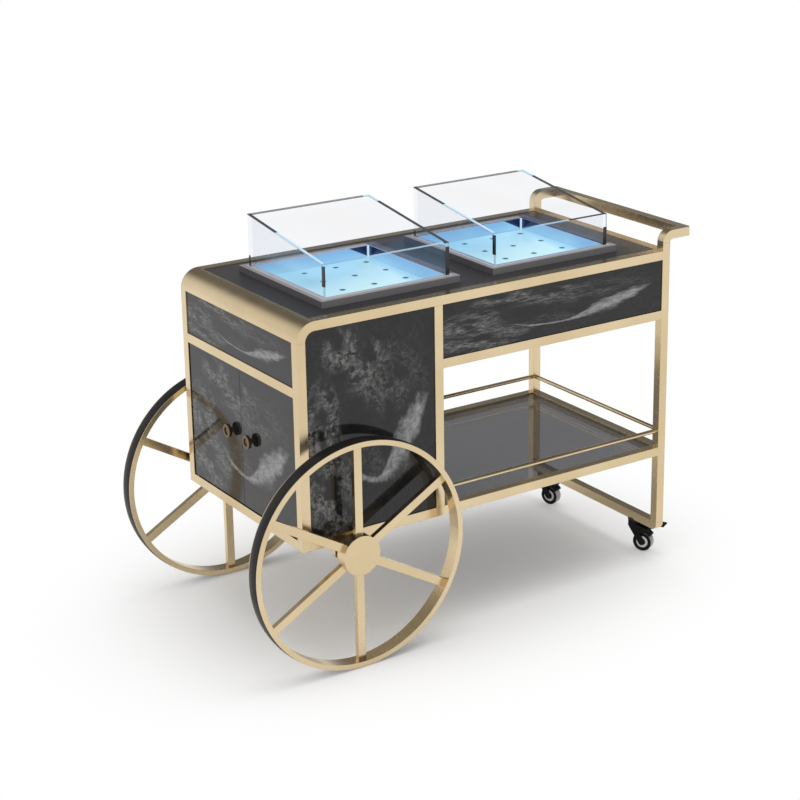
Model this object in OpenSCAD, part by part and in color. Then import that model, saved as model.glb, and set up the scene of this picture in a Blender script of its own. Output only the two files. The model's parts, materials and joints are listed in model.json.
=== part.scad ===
// Serving trolley with two lit wells, a two-door cabinet and an open bay.
// Millimetres, Z up. The origin is on the floor, at the middle of the whole trolley.
// The doors and the big wheels are at the -X end and the handle and casters at the +X end.

/* [Frame] */
// Outer side of the square tube
tube = 25; // [20:1:30]
// Wall thickness of the square tube
tube_wall = 1.5; // [1:0.1:2.5]
// Length of the frame without handle and wheels
frame_l = 1178; // [1100:2:1400]
// Width of the frame without the big wheels
frame_w = 608; // [540:2:760]
// Height of the top rails above the floor
top_z = 920; // [880:5:1000]
// Height of the top of the middle rails above the floor
mid_z = 751; // [700:1:800]
// Distance from the left end of the frame to the middle posts
mid_x = 402; // [360:1:480]
// Outer radius of the rounded top corner at the left end
corner_r = 52; // [40:1:60]
// Thickness of the sheet that wraps the rounded corner
band_t = 2; // [1:0.5:3]
// Length by which the top panel reaches into the rounded corner
band_lap = 4; // [1:1:5]
// Rounding of the lower corners of the caster beam
beam_corner_r = 20; // [8:1:22]

/* [Handle] */
// Reach of the handle past the right end of the frame
handle_out = 73; // [60:1:120]
// Height of the top of the handle above the top rails
handle_rise = 55; // [45:1:120]
// Outer radius of the bends between posts and handle
handle_bend_r = 34; // [32:1:44]
// Rounding of the two outer corners of the handle
handle_corner_r = 8; // [2:1:12]

/* [Panels] */
// Thickness of the wall panels
panel_t = 10; // [6:1:16]
// Depth of the panel faces behind the tube faces
panel_inset = 3; // [1:0.5:5]
// Height by which the upper end panel goes behind the corner sheet
panel_tuck = 7; // [4:1:8]
// Thickness of the cabinet floor
floor_t = 12; // [8:1:18]
// Thickness of the top panel
top_t = 15; // [10:1:18]
// Depth of the top panel under the top of the rails
top_recess = 1; // [0.5:0.5:2]

/* [Doors] */
// Thickness of the door leaves
door_t = 16; // [14:1:20]
// Gap between a door and the post beside it
door_side_gap = 3; // [3:0.5:5]
// Gap above and below the doors
door_end_gap = 2; // [1.5:0.5:4]
// Gap between the two doors
door_seam = 1.5; // [1:0.5:4]
// Diameter of the pivot pins
pivot_d = 6; // [4:0.5:7]
// Height of the pivot pins above their washers
pivot_h = 12; // [8:1:20]
// Diameter of the pivot washers
pivot_washer_d = 11; // [9:1:12]
// Depth of the pivot axis behind the door face
pivot_in = 6; // [6:0.5:7]
// Distance of the pivot axis from the edge of the door
pivot_edge = 8; // [7:0.5:9]
// Diameter of the knobs
knob_d = 36; // [30:1:50]
// Diameter of the neck of a knob
knob_neck_d = 14; // [10:1:20]
// Thickness of the head of a knob
knob_head_t = 8; // [5:0.5:10]
// Diameter of the shallow dish in the face of a knob
knob_dish_d = 22; // [16:1:26]
// Depth of the shallow dish in the face of a knob
knob_dish = 3; // [1:0.5:4]
// Distance by which the knobs stand out from the doors
knob_out = 18; // [16:1:26]
// Distance of each knob from the middle of the trolley
knob_y = 52; // [35:1:90]
// Distance of the knobs below the middle rail
knob_drop = 181; // [100:1:260]

/* [Wells] */
// Distance between the middles of the two wells
well_pitch = 519; // [460:1:540]
// Offset of the wells towards the front
well_front = 14; // [0:1:20]
// Offset of the wells towards the doors
well_left = 2; // [0:1:10]
// Width of the raised rim outside the glass guard
rim_margin = 20; // [14:1:24]
// Height of the raised rim above the top panel
rim_h = 18; // [12:1:25]
// Inner length of a well along the trolley
basin_l = 357; // [330:1:370]
// Inner width of a well across the trolley
basin_w = 366; // [330:1:380]
// Wall thickness of the well pans
basin_wall = 2; // [1.5:0.5:3]
// Depth of the perforated floor below the rim
well_depth = 34; // [25:1:50]
// Thickness of the perforated floor
well_floor_t = 4; // [3:0.5:6]
// Depth of the light chamber below the perforated floor
chamber_h = 24; // [18:1:30]
// Width of the ledge that carries the perforated floor
ledge_w = 6; // [4:1:8]
// Thickness of the ledge that carries the perforated floor
ledge_t = 3; // [2:0.5:4]
// Gap round the perforated floor
floor_gap = 0.3; // [0.2:0.1:1]
// Diameter of the holes in the perforated floor
hole_d = 9; // [6:0.5:12]
// Distance between the holes in the perforated floor
hole_pitch = 97; // [80:1:100]
// Number of holes along each side of the perforated floor
hole_count = 4; // [2:1:4]
// Bore of the drain under each pan
drain_d = 16; // [12:1:22]
// Length of the drain spigot
drain_l = 20; // [12:1:40]
// Width and height of the light bars in the chambers
light_bar = 10; // [6:1:12]

/* [Glass] */
// Distance of the panes behind the edges of the well
glass_step = 1; // [0.5:0.5:4]
// Thickness of the glass panes
glass_t = 8; // [5:0.5:8]
// Height of the front pane above the rim
glass_front_h = 86; // [60:1:120]
// Height of the back pane above the rim
glass_back_h = 140; // [125:1:200]
// Thickness of the shelf in the open bay
shelf_t = 8; // [6:0.5:12]
// Diameter of the rods that guard the shelf
rod_d = 12; // [6:0.5:14]
// Height of the rods above the low rails
rod_z = 46; // [30:1:80]

/* [Big wheels] */
// Diameter of the big wheels over the tyre
wheel_d = 612; // [560:2:660]
// Distance of the axle from the left end of the frame
axle_x = 133; // [120:1:160]
// Height of the underside of the low rails above the axle
axle_drop = 18; // [15:1:30]
// Diameter of the axle
axle_d = 20; // [16:1:22]
// Gap between the frame and the rims
wheel_gap = 29; // [28:1:50]
// Width of the rims
wheel_w = 39; // [36:1:44]
// Radial height of the rim flanges
flange_h = 12; // [10:1:20]
// Thickness of the rim flanges and of the rim floor
rim_t = 2; // [1.5:0.5:3]
// Distance by which the tyre stands out past the flanges
tyre_crown = 2; // [1:0.5:5]
// Number of spokes
spoke_count = 6; // [5:1:8]
// Width of a spoke
spoke_w = 22; // [18:1:30]
// Depth of a spoke
spoke_t = 14; // [10:1:16]
// Distance of the spokes behind the outer faces of the rims
spoke_inset = 15; // [10:1:18]
// Diameter of the hub tube
hub_d = 50; // [48:1:60]
// Diameter of the drum round the hub
drum_d = 106; // [90:1:140]
// Wall thickness of the drum round the hub
drum_t = 3; // [2:0.5:4]
// Distance of the drum face behind the outer face of the rim
drum_inset = 3; // [1:1:6]
// Distance of the open end of the drum from the inner face of the rim
drum_open = 2; // [0:1:6]
// Diameter of the nut chamber in the hub
nut_room_d = 40; // [38:1:42]
// Length of the nut chamber in the hub
nut_room_l = 14; // [12:1:16]
// Width of the axle nuts over their corners
nut_d = 34; // [30:1:35]
// Thickness of the axle nuts
nut_t = 10; // [8:1:11]
// Thickness of the collars between bracket and hub
collar_t = 3.7; // [3:0.1:6]
// Width of the axle brackets
bracket_w = 82; // [60:1:100]
// Thickness of the axle brackets
bracket_t = 12; // [8:1:16]
// Depth of the axle brackets below the axle
bracket_drop = 22; // [18:1:30]
// Rounding of the lower corners of the axle brackets
bracket_r = 12; // [8:1:15]

/* [Casters] */
// Height of the underside of the caster beam above the floor
caster_h = 95; // [92:1:110]
// Distance of the front caster pivot from the front side of the frame
caster_y = 112; // [90:1:200]
// Distance of the back caster pivot from the back side of the frame
back_caster_y = 59; // [56:1:200]
// Diameter of the caster wheels
caster_d = 57; // [50:1:58]
// Width of the caster wheels
caster_w = 26; // [18:1:28]
// Distance of a caster axle behind its pivot
caster_trail = 30; // [26:1:34]
// Angle of the front caster in the trolley's rest position
caster_turn = -60; // [-90:1:0]
// Angle of the back caster in the trolley's rest position
back_caster_turn = -70; // [-90:1:0]
// Diameter of the mounting flange of a caster
stem_flange_d = 36; // [30:1:44]
// Thickness of the mounting flange of a caster
stem_flange_t = 3; // [2:0.5:4]
// Diameter of the swivel pin of a caster
stem_d = 10; // [8:0.5:12]
// Diameter of the washer that holds a fork on its swivel pin
stem_washer_d = 16; // [14:1:20]
// Height of the swivel head of a fork
fork_head_h = 20; // [16:1:21]
// Diameter of the swivel head of a fork
fork_head_d = 34; // [28:1:36]
// Thickness of the fork cheeks
cheek_t = 3; // [2:0.5:4]
// Diameter of the eyes of a fork round the caster axle
eye_d = 18; // [14:1:22]
// Diameter of the ears of a fork round the pedal pin
ear_d = 10; // [9:1:12]
// Diameter of the caster axle
caster_pin_d = 8; // [6:0.5:10]
// Diameter of the hub bosses of a caster wheel
caster_boss_d = 14; // [12:1:18]
// Gap between a caster wheel and the cheeks of its fork
cheek_gap = 1.5; // [1:0.5:3]
// Gap between a caster wheel and the hood over it
hood_gap = 3; // [2:0.5:4]
// Thickness of the hood over a caster wheel
hood_t = 2.5; // [2:0.5:3]
// Length of the hood over a caster wheel
hood_w = 50; // [40:1:54]
// Distance of a pedal pivot behind the swivel pin
pedal_x = 45; // [40:1:50]
// Height of a pedal pivot above the hood
pedal_gap = 2; // [1:0.5:3]
// Length of the arm of a brake pedal
pedal_arm_l = 37; // [30:1:40]
// Thickness of the arm of a brake pedal
pedal_arm_t = 4; // [3:0.5:5]
// Length of the toe pad of a brake pedal
pedal_pad_l = 26; // [15:1:30]
// Thickness of the toe pad of a brake pedal
pedal_pad_t = 5; // [4:0.5:6]
// Diameter of the pivot pin of a brake pedal
pedal_pin_d = 5; // [4:0.5:6]
// Diameter of the barrel of a brake pedal
pedal_barrel_d = 9; // [8:0.5:10]
// Upward angle of the arm of a released brake pedal
pedal_rise = 40; // [30:1:42]

/* [Hidden] */
// Radial clearance of a pin or shaft in its bore
fit = 0.05;
// Clearance between flat faces that turn against each other
play = 0.3;
// Overshoot of a cutting body past the face that it cuts
cut = 1;
// Number of facets that draws a smooth circle on screen
round_fn = 96;

wheel_r = wheel_d / 2;
caster_r = caster_d / 2;
overall_l = wheel_r - axle_x + frame_l + handle_out;
x_left = wheel_r - axle_x - overall_l / 2;
x_right = x_left + frame_l;
x_mid_post = x_left + mid_x;
x_axle = x_left + axle_x;
y_side = frame_w / 2;
y_in = y_side - tube;
low_z = wheel_r + axle_drop + tube;
handle_z = top_z + handle_rise;

panel_y = y_side - panel_inset - panel_t;
door_x = x_left + panel_inset;
door_z = low_z + door_end_gap;
door_h = mid_z - tube - door_end_gap - door_z;
door_y = y_in - door_side_gap;
pivot_x = door_x + pivot_in;
pivot_y = door_y - pivot_edge;

panel_top_z = top_z - top_recess;
x_top_panel = x_left + corner_r - band_lap;
rim_z = panel_top_z + rim_h;
well_floor_z = rim_z - well_depth;
chamber_z = well_floor_z - well_floor_t - chamber_h;
pan_bottom_z = chamber_z - basin_wall;
glass_out = glass_step + glass_t;
rim_out = glass_out + rim_margin;
x_centre = (x_left + x_right) / 2 - well_left;
well_xs = [x_centre - well_pitch / 2, x_centre + well_pitch / 2];

rim_r = wheel_r - tyre_crown;
web_r = rim_r - flange_h;
rim_in_r = web_r - rim_t;
tyre_w = wheel_w - 2 * rim_t;
spoke_z = wheel_w - spoke_inset - spoke_t;
drum_top_z = wheel_w - drum_inset - drum_t;
hub_in_z = collar_t + play - wheel_gap;
nut_room_z = drum_top_z - nut_room_l;
axle_end_z = nut_room_z + play + nut_t + cut;

caster_x = x_right - tube / 2;
fork_top_z = caster_h - stem_flange_t - play;
fork_low_z = fork_top_z - fork_head_h;
cheek_y = caster_w / 2 + cheek_gap;
hood_r = caster_r + hood_gap;
pedal_z = caster_r + hood_r + hood_t + pedal_gap;

gold = [0.84, 0.76, 0.6];
stone = [0.25, 0.25, 0.25];
dark = [0.29, 0.28, 0.29];
black = [0.09, 0.09, 0.09];
light_blue = [0.72, 0.89, 0.95];
clear_glass = [0.8, 0.9, 0.95, 0.35];
smoked_glass = [0.3, 0.3, 0.3, 0.8];

front = -1;
back = 1;

// Basic shapes

// What is drawn at the front side, at the side that is asked for
module at_side(side) {
    if (side == front)
        children();
    else
        mirror([0, 1, 0])
            children();
}

// Square tube along X, from its corner at the origin
module tube_x(l) {
    difference() {
        cube([l, tube, tube]);
        translate([-cut, tube_wall, tube_wall])
            cube([l + 2 * cut, tube - 2 * tube_wall, tube - 2 * tube_wall]);
    }
}

// Square tube along Y, centred on the XZ plane
module tube_y(l) {
    translate([tube, -l / 2, 0])
        rotate([0, 0, 90])
            tube_x(l);
}

// Square tube along Z, from its corner at the origin
module tube_z(l) {
    translate([tube, 0, 0])
        rotate([0, -90, 0])
            tube_x(l);
}

// Quarter ring of square section that turns from upright to lengthwise.
// Its centre is the origin and its near face is the XZ plane.
module quarter_bend(r, side, inset) {
    rotate([90, 0, 0])
        rotate([0, 0, 90])
            rotate_extrude(angle = 90, $fn = round_fn)
                translate([r - side + inset, inset - side])
                    square(side - 2 * inset);
}

// Bent square tube with the outer radius r
module tube_bend(r) {
    difference() {
        quarter_bend(r, tube, 0);
        quarter_bend(r, tube, tube_wall);
    }
}

// Disc or rod along Z with a bore through it
module bored(d, bore, h) {
    difference() {
        cylinder(d = d, h = h, $fn = round_fn);
        translate([0, 0, -cut])
            cylinder(d = bore, h = h + 2 * cut, $fn = round_fn);
    }
}

// Upright plate at the front side, between two X and two Z values
module side_plate(x0, x1, z0, z1) {
    translate([x0, -y_side + panel_inset, z0])
        cube([x1 - x0, panel_t, z1 - z0]);
}

// Frame

module upright(x, z0, z1) {
    translate([x, -y_side, z0])
        tube_z(z1 - z0);
}

module left_post(side) {
    color(gold)
        at_side(side)
            upright(x_left, low_z - tube, top_z - corner_r);
}

module mid_post(side) {
    color(gold)
        at_side(side)
            upright(x_mid_post, low_z, top_z - tube);
}

module right_post(side) {
    color(gold)
        at_side(side)
            upright(x_right - tube, caster_h + tube, handle_z - handle_bend_r);
}

module side_rail(x0, side, z) {
    color(gold)
        at_side(side)
            translate([x0, -y_side, z - tube])
                tube_x(x_right - tube - x0);
}

module top_rail(side) {
    side_rail(x_left + corner_r, side, top_z);
    color(gold)
        at_side(side)
            translate([x_left + corner_r, -y_side, top_z - corner_r])
                tube_bend(corner_r);
}

module cross_rail(x, z) {
    color(gold)
        translate([x, 0, z - tube])
            tube_y(2 * y_in);
}

module corner_sheet() {
    color(gold)
        translate([x_left + corner_r, 0, top_z - corner_r])
            rotate([90, 0, 0])
                linear_extrude(2 * y_in, center = true)
                    intersection() {
                        difference() {
                            circle(corner_r, $fn = round_fn);
                            circle(corner_r - band_t, $fn = round_fn);
                        }
                        translate([-corner_r, 0])
                            square([corner_r - band_lap, corner_r]);
                    }
}

// Outline of the caster beam across the trolley, with its lower corners rounded
module beam_outline(inset) {
    w = y_side - inset;
    r = beam_corner_r - inset;
    intersection() {
        translate([-w, inset])
            square([2 * w, tube - 2 * inset]);
        union() {
            translate([-w, beam_corner_r])
                square([2 * w, tube]);
            translate([-w + r, 0])
                square([2 * (w - r), tube]);
            for (s = [-1, 1])
                translate([s * (w - r), beam_corner_r])
                    circle(r, $fn = round_fn);
        }
    }
}

module caster_beam() {
    color(gold)
        difference() {
            translate([x_right - tube, 0, caster_h])
                rotate([90, 0, 90])
                    linear_extrude(tube)
                        beam_outline(0);
            translate([x_right - tube + tube_wall, 0, caster_h])
                rotate([90, 0, 90])
                    linear_extrude(tube - 2 * tube_wall)
                        beam_outline(tube_wall);
        }
}

// Arms and cross bar of the handle in plan, with rounded outer corners
module handle_plan(inset) {
    x0 = x_right - tube + handle_bend_r;
    x1 = x_right + handle_out;
    r = handle_corner_r;
    difference() {
        union() {
            translate([x0, -y_side + inset])
                square([x1 - r - x0, 2 * (y_side - inset)]);
            translate([x0, -y_side + r])
                square([x1 - inset - x0, 2 * (y_side - r)]);
            for (s = [-1, 1])
                translate([x1 - r, s * (y_side - r)])
                    circle(r - inset, $fn = round_fn);
        }
        translate([x0 - cut, -y_side + tube - inset])
            square([x1 - tube + inset - x0 + cut, 2 * (y_side - tube + inset)]);
    }
}

module handle() {
    color(gold) {
        difference() {
            translate([0, 0, handle_z - tube])
                linear_extrude(tube)
                    handle_plan(0);
            translate([0, 0, handle_z - tube + tube_wall])
                linear_extrude(tube - 2 * tube_wall)
                    handle_plan(tube_wall);
        }
        for (side = [front, back])
            at_side(side)
                translate([x_right - tube + handle_bend_r, -y_side, handle_z - handle_bend_r])
                    tube_bend(handle_bend_r);
    }
}

// Axle and big wheels

module at_axle(side) {
    at_side(side)
        translate([x_axle, -y_side - wheel_gap, wheel_r])
            rotate([90, 0, 0])
                children();
}

module axle() {
    half = y_side + wheel_gap + axle_end_z;
    color("silver")
        translate([x_axle, half, wheel_r])
            rotate([90, 0, 0])
                cylinder(d = axle_d, h = 2 * half, $fn = round_fn);
}

module bracket_outline() {
    h = axle_drop + bracket_drop;
    translate([-bracket_w / 2, -bracket_drop + bracket_r])
        square([bracket_w, h - bracket_r]);
    translate([-bracket_w / 2 + bracket_r, -bracket_drop])
        square([bracket_w - 2 * bracket_r, h]);
    for (s = [-1, 1])
        translate([s * (bracket_w / 2 - bracket_r), -bracket_drop + bracket_r])
            circle(bracket_r, $fn = round_fn);
}

module axle_brackets() {
    color(gold)
        for (side = [front, back])
            at_axle(side)
                translate([0, 0, -wheel_gap - bracket_t])
                    linear_extrude(bracket_t)
                        difference() {
                            bracket_outline();
                            circle(d = axle_d + 2 * fit, $fn = round_fn);
                        }
}

module axle_fasteners() {
    color("silver")
        for (side = [front, back])
            at_axle(side) {
                translate([0, 0, -wheel_gap])
                    bored(nut_d, axle_d + 2 * fit, collar_t);
                translate([0, 0, nut_room_z + play])
                    difference() {
                        cylinder(d = nut_d, h = nut_t, $fn = 6);
                        translate([0, 0, -cut])
                            cylinder(d = axle_d + 2 * fit, h = nut_t + 2 * cut, $fn = round_fn);
                    }
            }
}

// Half section of the tyre, with a crown that stands out past the flanges
module tyre_section() {
    arc_r = (pow(tyre_w / 2, 2) + pow(tyre_crown, 2)) / (2 * tyre_crown);
    intersection() {
        translate([web_r + fit, rim_t + fit])
            square([wheel_r - web_r, tyre_w - 2 * fit]);
        translate([wheel_r - arc_r, wheel_w / 2])
            circle(arc_r, $fn = 8 * round_fn);
    }
}

module wheel_tyre(side) {
    color([0.15, 0.13, 0.13])
        at_axle(side)
            rotate_extrude($fn = 2 * round_fn)
                tyre_section();
}

module wheel_rim(side) {
    color(gold)
        at_axle(side)
            rotate_extrude($fn = 2 * round_fn)
                difference() {
                    translate([rim_in_r, 0])
                        square([rim_r - rim_in_r, wheel_w]);
                    translate([web_r, rim_t])
                        square([rim_r, tyre_w]);
                }
}

// Spoke that starts in the wall of the drum and ends past the rim floor
module spoke(inset) {
    translate([(drum_d - drum_t) / 2 - inset, -spoke_w / 2 + inset, spoke_z + inset])
        cube([rim_r - drum_d / 2, spoke_w - 2 * inset, spoke_t - 2 * inset]);
}

module wheel_spider(side) {
    color(gold)
        at_axle(side) {
            intersection() {
                for (i = [0 : spoke_count - 1])
                    rotate([0, 0, 90 + i * 360 / spoke_count])
                        difference() {
                            spoke(0);
                            spoke(tube_wall);
                        }
                cylinder(r = rim_in_r - fit, h = wheel_w, $fn = 2 * round_fn);
            }
            difference() {
                translate([0, 0, drum_open])
                    cylinder(d = drum_d, h = drum_top_z + drum_t - drum_open, $fn = round_fn);
                translate([0, 0, drum_open - cut])
                    cylinder(d = drum_d - 2 * drum_t, h = drum_top_z - drum_open + cut, $fn = round_fn);
            }
            difference() {
                translate([0, 0, hub_in_z])
                    cylinder(d = hub_d, h = drum_top_z - hub_in_z, $fn = round_fn);
                translate([0, 0, hub_in_z - cut])
                    cylinder(d = axle_d + 2 * fit, h = drum_top_z - hub_in_z + cut, $fn = round_fn);
                translate([0, 0, nut_room_z])
                    cylinder(d = nut_room_d, h = nut_room_l, $fn = round_fn);
            }
        }
}

// Casters, drawn about the swivel axis with the wheel behind it along +X.
// Both trail to the same side, as after the same push.

module at_caster(side) {
    y = side == front ? caster_y - y_side : y_side - back_caster_y;
    translate([caster_x, y, 0])
        rotate([0, 0, side == front ? caster_turn : back_caster_turn])
            children();
}

module caster_stems() {
    color("silver")
        for (side = [front, back])
            at_caster(side) {
                translate([0, 0, caster_h - stem_flange_t])
                    cylinder(d = stem_flange_d, h = stem_flange_t, $fn = round_fn);
                translate([0, 0, fork_low_z - play])
                    cylinder(d = stem_d, h = caster_h - fork_low_z, $fn = round_fn);
                translate([0, 0, fork_low_z - play - stem_flange_t])
                    cylinder(d = stem_washer_d, h = stem_flange_t, $fn = round_fn);
            }
}

// Side view of a fork cheek: head and axle eye, and head, hood and the ear of the pedal
module cheek_outline() {
    hull() {
        translate([-fork_head_d / 4, fork_low_z])
            square([fork_head_d / 2, fork_head_h / 2]);
        translate([caster_trail, caster_r])
            circle(d = eye_d, $fn = 32);
    }
    hull() {
        translate([0, fork_low_z])
            square([fork_head_d / 4, fork_head_h / 2]);
        translate([pedal_x, pedal_z])
            circle(d = ear_d, $fn = 32);
        translate([caster_trail, caster_r + hood_r])
            circle(d = 2 * hood_t, $fn = 32);
    }
}

// Side view of the hood over the wheel
module hood_outline() {
    intersection() {
        difference() {
            circle(hood_r + hood_t, $fn = round_fn);
            circle(hood_r, $fn = round_fn);
        }
        translate([-hood_w / 2, hood_r / 2])
            square([hood_w, hood_r]);
    }
}

// What is drawn along Z, put across the caster at a distance and a height
module across_caster(x, z) {
    translate([x, 0, z])
        rotate([90, 0, 0])
            children();
}

module caster_fork(side) {
    pin_l = 2 * cheek_y + cheek_t;
    color(black)
        at_caster(side)
            difference() {
                union() {
                    translate([0, 0, fork_low_z])
                        cylinder(d = fork_head_d, h = fork_head_h, $fn = round_fn);
                    for (s = [-1, 1])
                        translate([0, s * (cheek_y + cheek_t / 2), 0])
                            rotate([90, 0, 0])
                                linear_extrude(cheek_t, center = true)
                                    cheek_outline();
                    across_caster(caster_trail, caster_r)
                        linear_extrude(2 * cheek_y + cheek_t, center = true)
                            hood_outline();
                    across_caster(caster_trail, caster_r)
                        cylinder(d = caster_pin_d, h = pin_l, center = true, $fn = round_fn);
                    across_caster(pedal_x, pedal_z)
                        cylinder(d = pedal_pin_d, h = pin_l, center = true, $fn = round_fn);
                }
                translate([0, 0, fork_low_z - cut])
                    cylinder(d = stem_d + 2 * fit, h = fork_head_h + 2 * cut, $fn = round_fn);
            }
}

module caster_wheel(side) {
    color(black)
        at_caster(side)
            across_caster(caster_trail, caster_r)
                difference() {
                    union() {
                        cylinder(d = caster_d, h = caster_w, center = true, $fn = round_fn);
                        cylinder(d = caster_boss_d, h = 2 * (cheek_y - play), center = true, $fn = round_fn);
                    }
                    cylinder(d = caster_pin_d + 2 * fit, h = 2 * cheek_y, center = true, $fn = round_fn);
                }
}

// Side view of a brake pedal: sloping arm and level toe pad
module pedal_outline() {
    knee = pedal_arm_l * [cos(pedal_rise), sin(pedal_rise)];
    hull() {
        circle(d = pedal_arm_t, $fn = 32);
        translate(knee)
            circle(d = pedal_arm_t, $fn = 32);
    }
    hull()
        for (x = [0, pedal_pad_l - pedal_pad_t])
            translate([knee[0] + x, knee[1]])
                circle(d = pedal_pad_t, $fn = 32);
}

module brake_pedal(side) {
    w = 2 * (cheek_y - play);
    color(black)
        at_caster(side)
            across_caster(pedal_x, pedal_z)
                difference() {
                    union() {
                        cylinder(d = pedal_barrel_d, h = w, center = true, $fn = round_fn);
                        linear_extrude(w, center = true)
                            pedal_outline();
                    }
                    cylinder(d = pedal_pin_d + 2 * fit, h = 2 * w, center = true, $fn = round_fn);
                }
}

// Panels, doors and top

module cabinet_panel(side) {
    r = corner_r - tube;
    color(stone)
        at_side(side)
            difference() {
                side_plate(x_left + tube, x_mid_post, low_z, top_z - tube);
                translate([x_left + corner_r, -y_side, top_z - corner_r])
                    rotate([90, 0, 0])
                        linear_extrude(3 * tube, center = true)
                            difference() {
                                translate([-2 * r, 0])
                                    square(2 * r);
                                circle(r, $fn = round_fn);
                            }
            }
}

module upper_end_panel() {
    color(stone)
        translate([x_left + panel_inset, -y_in, mid_z])
            cube([panel_t, 2 * y_in, top_z - corner_r + panel_tuck - mid_z]);
}

module cabinet_divider() {
    color(stone)
        translate([x_mid_post + (tube - panel_t) / 2, -y_in, low_z])
            cube([panel_t, 2 * y_in, pan_bottom_z - low_z]);
}

module cabinet_floor() {
    color(stone)
        translate([x_left + tube, -y_in, low_z - floor_t])
            cube([mid_x - tube, 2 * y_in, floor_t]);
}

module apron(side) {
    color(stone)
        at_side(side)
            side_plate(x_mid_post + tube, x_right - tube, mid_z, top_z - tube);
}

module right_apron() {
    color(stone)
        translate([x_right - panel_inset - panel_t, -y_in, mid_z])
            cube([panel_t, 2 * y_in, top_z - tube - mid_z]);
}

module at_pivot(side) {
    at_side(side)
        translate([pivot_x, -pivot_y, 0])
            children();
}

module door(side) {
    bore_h = pivot_h + door_end_gap;
    color(stone)
        difference() {
            at_side(side)
                translate([door_x, -door_y, door_z])
                    cube([door_t, door_y - door_seam / 2, door_h]);
            at_pivot(side)
                for (z = [door_z - cut, door_z + door_h + cut - bore_h])
                    translate([0, 0, z])
                        cylinder(d = pivot_d + 2 * fit, h = bore_h, $fn = round_fn);
        }
}

module door_pivots() {
    washer_t = door_end_gap - play / 2;
    color("silver")
        for (side = [front, back])
            at_pivot(side) {
                translate([0, 0, low_z])
                    cylinder(d = pivot_washer_d, h = washer_t, $fn = round_fn);
                translate([0, 0, low_z])
                    cylinder(d = pivot_d, h = pivot_h, $fn = round_fn);
                translate([0, 0, mid_z - tube - washer_t])
                    cylinder(d = pivot_washer_d, h = washer_t, $fn = round_fn);
                translate([0, 0, mid_z - tube - pivot_h])
                    cylinder(d = pivot_d, h = pivot_h, $fn = round_fn);
            }
}

module knob(side) {
    head_z = knob_out - knob_head_t;
    color(gold)
        at_side(side)
            translate([door_x, -knob_y, mid_z - tube - knob_drop])
                rotate([0, -90, 0])
                    difference() {
                        union() {
                            cylinder(d = knob_neck_d, h = head_z + cut, $fn = round_fn);
                            translate([0, 0, head_z])
                                cylinder(d = knob_d, h = knob_head_t, $fn = round_fn);
                        }
                        translate([0, 0, knob_out - knob_dish])
                            cylinder(d = knob_dish_d, h = knob_head_t, $fn = round_fn);
                    }
}

// Block over the opening of a well, larger on each side by a margin
module well_block(i, margin, z0, z1) {
    l = basin_l + 2 * margin;
    w = basin_w + 2 * margin;
    translate([well_xs[i] - l / 2, -well_front - w / 2, z0])
        cube([l, w, z1 - z0]);
}

module top_panel() {
    color(dark)
        difference() {
            translate([x_top_panel, -y_in, panel_top_z - top_t])
                cube([x_right - tube - x_top_panel, 2 * y_in, top_t]);
            for (i = [0, 1])
                well_block(i, basin_wall + play, panel_top_z - top_t - cut, panel_top_z + cut);
        }
}

module well_pan(i) {
    ledge_top_z = well_floor_z - well_floor_t;
    color(dark)
        difference() {
            union() {
                well_block(i, rim_out, panel_top_z, rim_z);
                well_block(i, basin_wall, pan_bottom_z, panel_top_z + cut);
                translate([well_xs[i], -well_front, pan_bottom_z - drain_l])
                    cylinder(d = drain_d + 2 * basin_wall, h = drain_l + basin_wall, $fn = round_fn);
            }
            well_block(i, 0, ledge_top_z, rim_z + cut);
            well_block(i, -ledge_w, ledge_top_z - ledge_t - cut, ledge_top_z + cut);
            well_block(i, 0, chamber_z, ledge_top_z - ledge_t);
            translate([well_xs[i], -well_front, pan_bottom_z - drain_l - cut])
                cylinder(d = drain_d, h = drain_l + basin_wall + 2 * cut, $fn = round_fn);
        }
}

module well_floor(i) {
    color(light_blue)
        difference() {
            well_block(i, -floor_gap, well_floor_z - well_floor_t, well_floor_z);
            for (u = [0 : hole_count - 1])
                for (v = [0 : hole_count - 1])
                    translate([well_xs[i] + (u - (hole_count - 1) / 2) * hole_pitch,
                               -well_front + (v - (hole_count - 1) / 2) * hole_pitch,
                               well_floor_z - well_floor_t - cut])
                        cylinder(d = hole_d, h = well_floor_t + 2 * cut, $fn = 24);
        }
}

module light_bars() {
    l = basin_l - 4 * ledge_w;
    y = basin_w / 2 - light_bar;
    color("white")
        for (i = [0, 1])
            for (s = [-1, 1])
                translate([well_xs[i] - l / 2, -well_front + s * y - light_bar / 2, chamber_z])
                    cube([l, light_bar, light_bar]);
}

// Four panes round a well, cut to one slope from front to back
module glass_guard(i) {
    l = basin_l + 2 * glass_out;
    w = basin_w + 2 * glass_out;
    slope = (glass_back_h - glass_front_h) / w;
    color(clear_glass)
        difference() {
            well_block(i, glass_out, rim_z, rim_z + glass_back_h);
            well_block(i, glass_step, rim_z - cut, rim_z + glass_back_h + cut);
            translate([well_xs[i], -well_front - w / 2, rim_z])
                rotate([90, 0, 90])
                    linear_extrude(l + 2 * cut, center = true)
                        polygon([[-cut, glass_front_h - cut * slope],
                                 [w + cut, glass_back_h + cut * slope],
                                 [-cut, glass_back_h + cut * slope]]);
        }
}

// Shelf in the open bay

module bay_shelf() {
    color(smoked_glass)
        translate([x_mid_post + tube, -y_in, low_z - panel_inset - shelf_t])
            cube([x_right - 2 * tube - x_mid_post, 2 * y_in, shelf_t]);
}

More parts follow.
